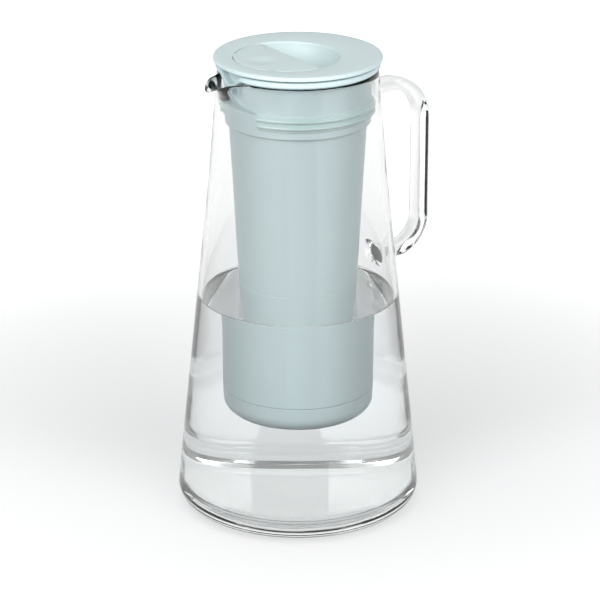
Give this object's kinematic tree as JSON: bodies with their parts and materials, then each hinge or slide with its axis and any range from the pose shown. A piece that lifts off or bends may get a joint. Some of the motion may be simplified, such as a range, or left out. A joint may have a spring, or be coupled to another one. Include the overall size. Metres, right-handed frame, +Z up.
{
  "type": "water filter pitcher with flip lid",
  "caption": "Tapered glass water pitcher with a pulled spout and a fused glass handle, holding a lift-out filter reservoir under a round lid with a flip-up filling flap.",
  "frame": {"origin": "centre of the jug's flat glass foot, on the table", "axes": "+Z up along the jug's axis, +X towards the handle, -X towards the spout"},
  "size_m": [0.1599, 0.1408, 0.269],
  "materials": {
    "clear_glass": "clear, polished",
    "aqua_plastic": "satin moulded",
    "lid_plastic": "satin moulded",
    "aqua_silicone": "soft, satin",
    "grey_rubber": "satin",
    "pin_steel": "ground",
    "white_plastic": "satin moulded",
    "hollow_fibre": "fine strands",
    "potting_resin": "cast resin",
    "carbon_grains": "granular",
    "felt": "non-woven felt"
  },
  "bodies": {
    "jug": {"glass_jug": "clear_glass", "glass_handle": "clear_glass"},
    "reservoir": {"reservoir": "aqua_plastic", "collar_seal": "aqua_silicone", "filter_cup": "aqua_plastic", "cup_seal": "grey_rubber"},
    "lid": {"lid_plate": "lid_plastic", "lid_seal": "aqua_silicone", "hinge_pins": "pin_steel"},
    "flap": {"flap": "lid_plastic"},
    "membrane": {"membrane_shell": "white_plastic", "membrane_cap": "aqua_plastic", "membrane_fibres": "hollow_fibre", "membrane_potting": "potting_resin", "membrane_oring": "grey_rubber"},
    "cap_ring": {"cap_seal": "grey_rubber"},
    "cap": {"base_cap": "aqua_plastic", "carbon_shell": "white_plastic", "carbon_lid": "aqua_plastic", "carbon_media": "carbon_grains", "carbon_top_pad": "felt", "carbon_bottom_pad": "felt", "carbon_seal": "grey_rubber"}
  },
  "joints": [
    {"name": "reservoir_lift", "type": "slide", "parent": "jug", "child": "reservoir", "axis": [0, 0, 1], "range_m": [0, 0.215]},
    {"name": "lid_lift", "type": "slide", "parent": "reservoir", "child": "lid", "axis": [0, 0, 1], "range_m": [0, 0.04]},
    {"name": "flap_hinge", "type": "hinge", "parent": "lid", "child": "flap", "pos_m": [-0.03, 0, 0.2675], "axis": [0, -1, 0], "range_deg": [0, 105]},
    {"name": "membrane_lift", "type": "slide", "parent": "reservoir", "child": "membrane", "axis": [0, 0, 1], "range_m": [0, 0.085]},
    {"name": "cap_drop", "type": "slide", "parent": "reservoir", "child": "cap_ring", "axis": [0, 0, -1], "range_m": [0, 0.0091]},
    {"name": "cap_twist", "type": "hinge", "parent": "cap_ring", "child": "cap", "pos_m": [0, 0, 0.071], "axis": [0, 0, -1], "range_deg": [0, 360]}
  ],
  "couplings": [
    {"joint": "cap_drop", "follows": "cap_twist", "m_per_rad": 0.0014324}
  ]
}
